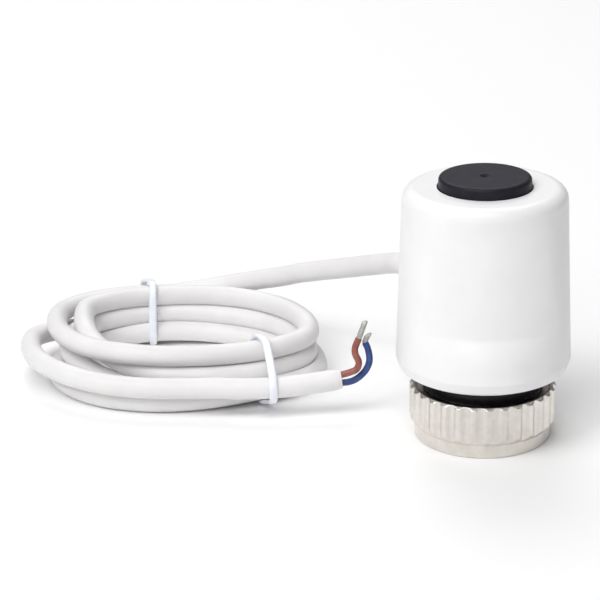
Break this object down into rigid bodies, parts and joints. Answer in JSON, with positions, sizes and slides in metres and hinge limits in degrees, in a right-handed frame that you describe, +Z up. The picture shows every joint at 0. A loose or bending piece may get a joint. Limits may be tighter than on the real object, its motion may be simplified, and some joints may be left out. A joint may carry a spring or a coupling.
{
  "type": "thermal valve actuator head",
  "caption": "Wax-motor actuator head for a heating valve, with a union nut, a stroke indicator in its top and a coiled mains lead with stripped cores.",
  "frame": {"origin": "centre of the union nut's bottom rim, which is the bottom centre of the head without its free lead", "axes": "+Z up along the head's axis, from the union nut to the indicator; the cover's recessed front panel faces -Y; the lead leaves at the left rear, between -X and +Y"},
  "size_m": [0.145, 0.0997, 0.0682],
  "materials": {
    "cover_white": "fine satin",
    "moulded_black": "fine spark-eroded satin",
    "natural_nylon": "natural moulded",
    "nickel_plate": "satin nickel plate",
    "brass": "turned",
    "steel": "plain",
    "copper_alloy": "rolled strip",
    "tinned_copper": "dull tin",
    "seal_rubber": "matt",
    "heater_ceramic": "sintered",
    "cable_white": "soft PVC satin",
    "tie_white": "smooth",
    "core_brown": "soft PVC",
    "core_blue": "soft PVC"
  },
  "bodies": {
    "housing": {"outer_cover": "cover_white", "adapter_base": "moulded_black", "neck_sleeve": "brass", "guide_bush": "brass", "plunger_seal": "seal_rubber", "cover_seal": "seal_rubber", "inner_frame": "natural_nylon", "frame_screw_1": "steel", "frame_screw_2": "steel", "frame_screw_3": "steel", "spring_washer": "steel", "closing_spring": "steel", "heater_bridge": "natural_nylon", "contact_lower": "copper_alloy", "contact_upper": "copper_alloy", "ptc_heater": "heater_ceramic", "wax_element": "brass", "cable_gland": "cable_white", "cable_clamp": "steel", "cable_stub": "cable_white", "live_lead": "core_brown", "neutral_lead": "core_blue", "cable_run": "cable_white", "cable_coil": "cable_white", "cable_tail": "cable_white", "tie_rear": "tie_white", "tie_front": "tie_white", "brown_core": "core_brown", "brown_core_tip": "tinned_copper", "blue_core": "core_blue", "blue_core_tip": "tinned_copper"},
    "nut": {"union_nut": "nickel_plate"},
    "carriage": {"plunger": "natural_nylon", "spring_carriage": "natural_nylon", "indicator_stem": "natural_nylon", "indicator_button": "moulded_black"},
    "piston": {"wax_piston": "steel"}
  },
  "joints": [
    {"name": "nut_turn", "type": "hinge", "parent": "housing", "child": "nut", "pos_m": [0, 0, 0.00695], "axis": [0, 0, 1], "continuous": true},
    {"name": "plunger_lift", "type": "slide", "parent": "housing", "child": "carriage", "axis": [0, 0, 1], "range_m": [0, 0.003], "stiffness_N_per_m": 2000, "springref_m": -0.004, "deforming": ["closing_spring"]},
    {"name": "piston_lift", "type": "slide", "parent": "housing", "child": "piston", "axis": [0, 0, 1], "range_m": [0, 0.003]}
  ],
  "couplings": [
    {"joint": "piston_lift", "follows": "plunger_lift", "ratio": 1}
  ]
}
